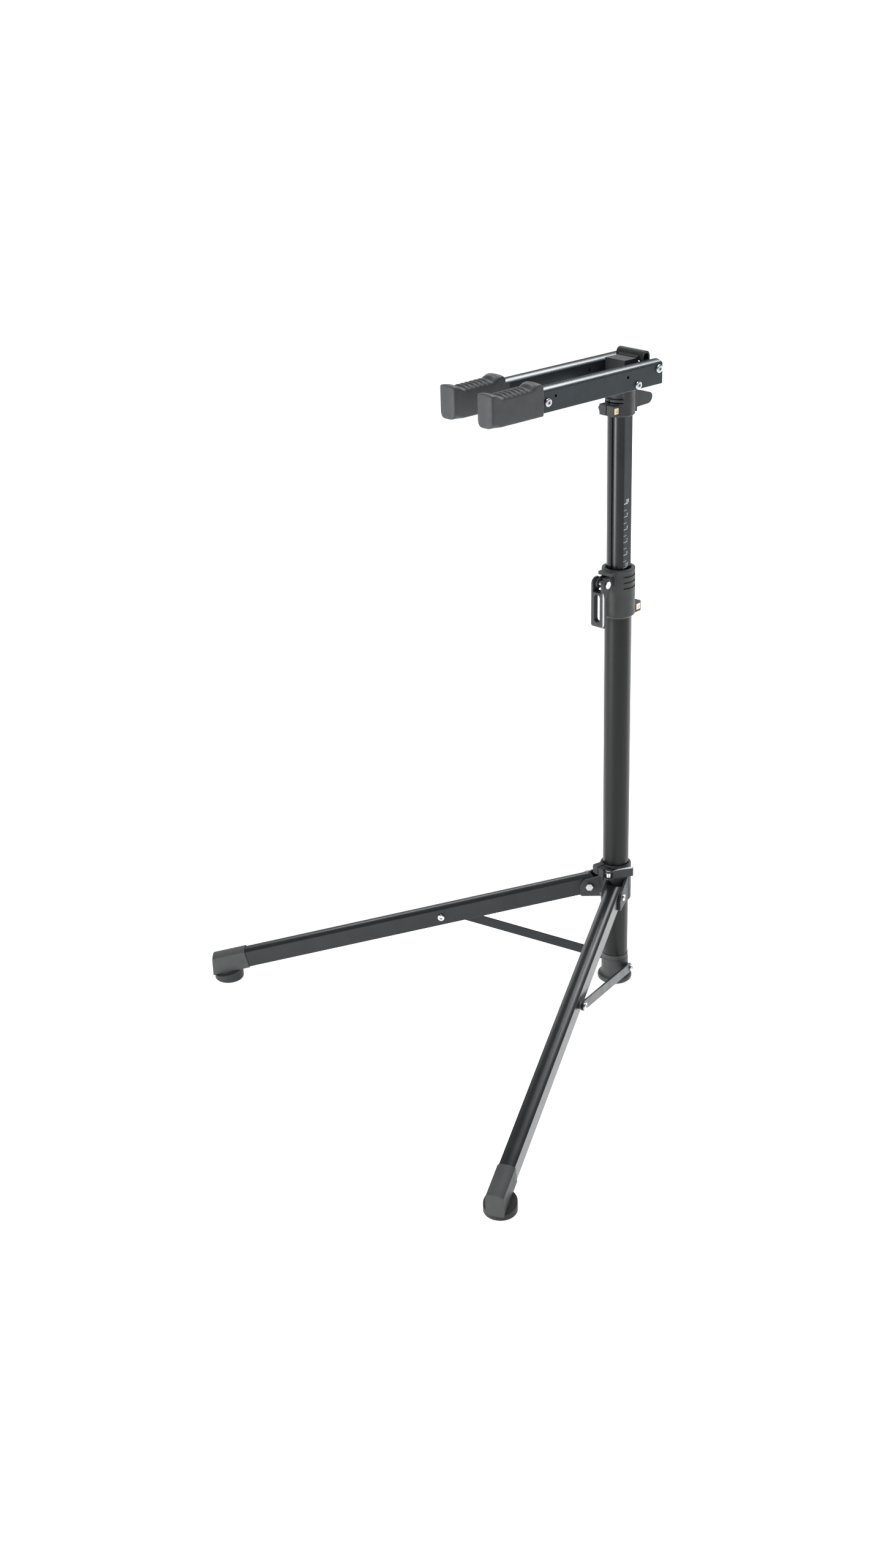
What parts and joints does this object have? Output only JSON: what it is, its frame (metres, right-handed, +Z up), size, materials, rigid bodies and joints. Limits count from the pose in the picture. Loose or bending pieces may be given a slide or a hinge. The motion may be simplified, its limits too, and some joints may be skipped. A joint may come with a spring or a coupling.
{
  "type": "bike repair stand",
  "caption": "Folding workshop stand: telescoping mast on its own foot, two braced folding legs, and a pair of parallel cradle arms with ribbed grips on a tilting head.",
  "frame": {"origin": "centre of the mast foot's underside, on the floor", "axes": "+Z up along the mast, cradle arms point along -Y, +X on the right when looking along +Y from the arms' free ends"},
  "size_m": [0.9896, 0.7767, 1.2473],
  "materials": {
    "anodised_dark": "satin graphite anodising",
    "anodised_brace": "satin grey anodising",
    "cast_dark": "fine matte black coat",
    "dark_plastic": "matte",
    "grip_rubber": "matte",
    "pad_rubber": "matte",
    "bolt_steel": "bright plated",
    "nut_brass": "machined",
    "bearing_plastic": "moulded"
  },
  "bodies": {
    "mast": {"lower_tube": "anodised_dark", "foot_cap": "dark_plastic", "brace_foot_bolts": "bolt_steel", "mid_collar": "dark_plastic", "collar_bush": "bearing_plastic", "collar_clamp_bolt": "bolt_steel", "collar_square_nut": "nut_brass", "clamp_shoe": "bearing_plastic"},
    "upper": {"upper_tube": "anodised_dark", "tube_slider": "bearing_plastic", "head_clamp": "cast_dark", "head_clamp_bolt": "bolt_steel", "head_square_nut": "nut_brass", "arm_pivot_bushes": "bearing_plastic"},
    "arms": {"arm_right": "anodised_dark", "arm_left": "anodised_dark", "grip_right": "grip_rubber", "grip_left": "grip_rubber", "arm_end_plugs": "dark_plastic", "grip_bolts": "bolt_steel", "arm_pivot_bolt": "bolt_steel", "arm_pivot_nut": "bolt_steel", "latch_bolt": "bolt_steel", "latch_nut": "bolt_steel", "latch_spacer": "bolt_steel", "grip_stop_tabs": "dark_plastic"},
    "latch": {"latch_handle": "cast_dark"},
    "mid_lever": {"mid_lever": "cast_dark", "mid_lever_pin": "bolt_steel", "mid_lever_cam": "bolt_steel"},
    "hub": {"hub": "cast_dark", "hub_bush": "bearing_plastic", "leg_pivot_bolts": "bolt_steel", "leg_pivot_nuts": "bolt_steel", "hub_skewer": "bolt_steel", "hub_skewer_nut": "bolt_steel"},
    "hub_lever": {"hub_lever": "cast_dark", "hub_lever_pin": "bolt_steel"},
    "leg_right": {"leg_tube_right": "anodised_dark", "leg_pivot_bush_right": "bearing_plastic", "brace_anchor_right": "bolt_steel", "leg_cap_right": "dark_plastic", "leg_pad_right": "pad_rubber"},
    "brace_right": {"brace_bar_right": "anodised_brace", "brace_spacer_right": "bearing_plastic", "brace_bolt_right": "bolt_steel"},
    "leg_left": {"leg_tube_left": "anodised_dark", "leg_pivot_bush_left": "bearing_plastic", "brace_anchor_left": "bolt_steel", "leg_cap_left": "dark_plastic", "leg_pad_left": "pad_rubber"},
    "brace_left": {"brace_bar_left": "anodised_brace", "brace_spacer_left": "bearing_plastic", "brace_bolt_left": "bolt_steel"}
  },
  "joints": [
    {"name": "mast_slide", "type": "slide", "parent": "mast", "child": "upper", "axis": [0, 0, 1], "range_m": [0, 0.2]},
    {"name": "arms_fold", "type": "hinge", "parent": "upper", "child": "arms", "pos_m": [0, -0.0187, 1.2013], "axis": [1, 0, 0], "range_deg": [0, 90]},
    {"name": "latch_tilt", "type": "hinge", "parent": "arms", "child": "latch", "pos_m": [0, 0.0323, 1.2205], "axis": [-1, 0, 0], "range_deg": [0, 60]},
    {"name": "mid_lever_open", "type": "hinge", "parent": "mast", "child": "mid_lever", "pos_m": [0.00506, -0.04813, 0.8398], "axis": [-0.9945, -0.1045, 0], "range_deg": [0, 80]},
    {"name": "hub_slide", "type": "slide", "parent": "mast", "child": "hub", "axis": [0, 0, 1], "range_m": [0, 0.4693]},
    {"name": "hub_lever_open", "type": "hinge", "parent": "hub", "child": "hub_lever", "pos_m": [0.01807, -0.03795, 0.25], "axis": [0, 0, -1], "range_deg": [0, 100]},
    {"name": "leg_right_fold", "type": "hinge", "parent": "hub", "child": "leg_right", "pos_m": [0.03265, -0.04024, 0.2098], "axis": [0.8704, 0.4924, 0], "range_deg": [0, 72.7]},
    {"name": "brace_right_fold", "type": "hinge", "parent": "mast", "child": "brace_right", "pos_m": [0.02611, 0.01477, 0.025], "axis": [-0.8704, -0.4924, 0], "range_deg": [0, 60]},
    {"name": "leg_left_fold", "type": "hinge", "parent": "hub", "child": "leg_left", "pos_m": [-0.0413, -0.03129, 0.2098], "axis": [0.7278, -0.6858, 0], "range_deg": [0, 72.7]},
    {"name": "brace_left_fold", "type": "hinge", "parent": "mast", "child": "brace_left", "pos_m": [-0.02183, 0.02057, 0.025], "axis": [-0.7278, 0.6858, 0], "range_deg": [0, 60]}
  ],
  "couplings": [
    {"joint": "leg_right_fold", "follows": "hub_slide", "rad_per_m": 2.7015},
    {"joint": "brace_right_fold", "follows": "hub_slide", "rad_per_m": 2.2277},
    {"joint": "leg_left_fold", "follows": "hub_slide", "rad_per_m": 2.7015},
    {"joint": "brace_left_fold", "follows": "hub_slide", "rad_per_m": 2.2277}
  ]
}
